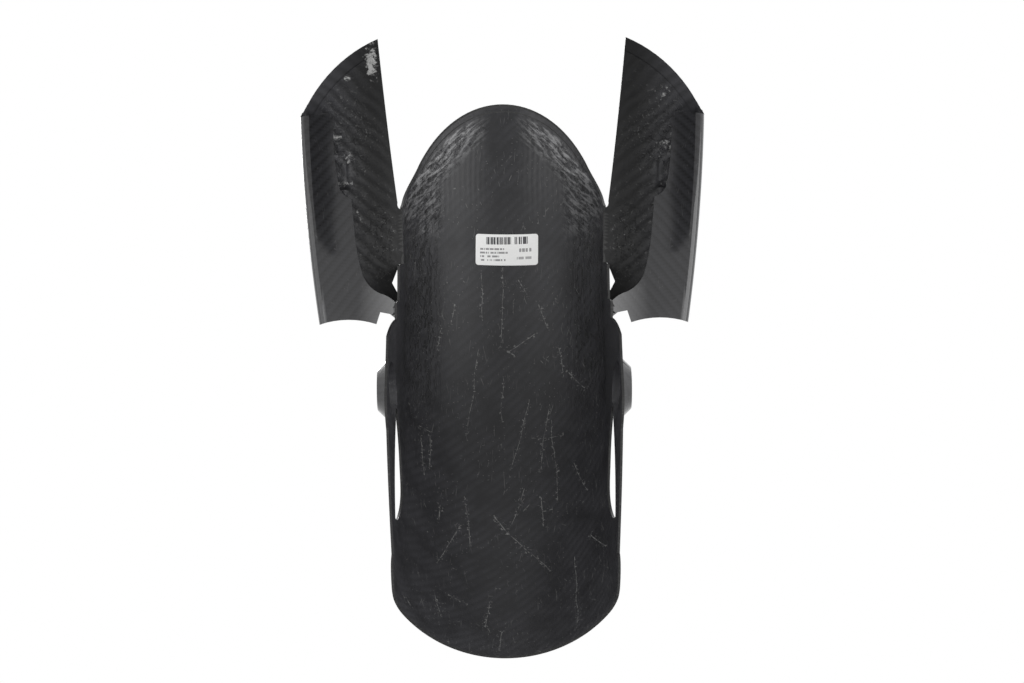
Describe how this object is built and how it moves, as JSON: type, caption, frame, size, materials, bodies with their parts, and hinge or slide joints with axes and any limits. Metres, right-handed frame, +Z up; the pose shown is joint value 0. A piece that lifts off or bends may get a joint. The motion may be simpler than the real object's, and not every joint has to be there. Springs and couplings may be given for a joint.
{
  "type": "motorcycle front mudguard",
  "caption": "Carbon-fibre front mudguard with a rounded arch over the tyre, folded wings ahead of the fork legs, bolt pads on windowed side arms, and a blank paper label inside the crown.",
  "frame": {"origin": "middle of the fork bolt line, halfway between the left and right mounting pads", "axes": "+X across the motorcycle along the fork bolts, +Y to the rear, +Z up; the tongue-shaped nose of the arch points to -Y"},
  "size_m": [0.2652, 0.4006, 0.1772],
  "materials": {
    "carbon_laminate": "clear-coated carbon twill outside, bare resin inside",
    "label_paper": "matt printed paper"
  },
  "bodies": {
    "root": {"mudguard_shell": "carbon_laminate", "label": "label_paper"}
  },
  "joints": []
}
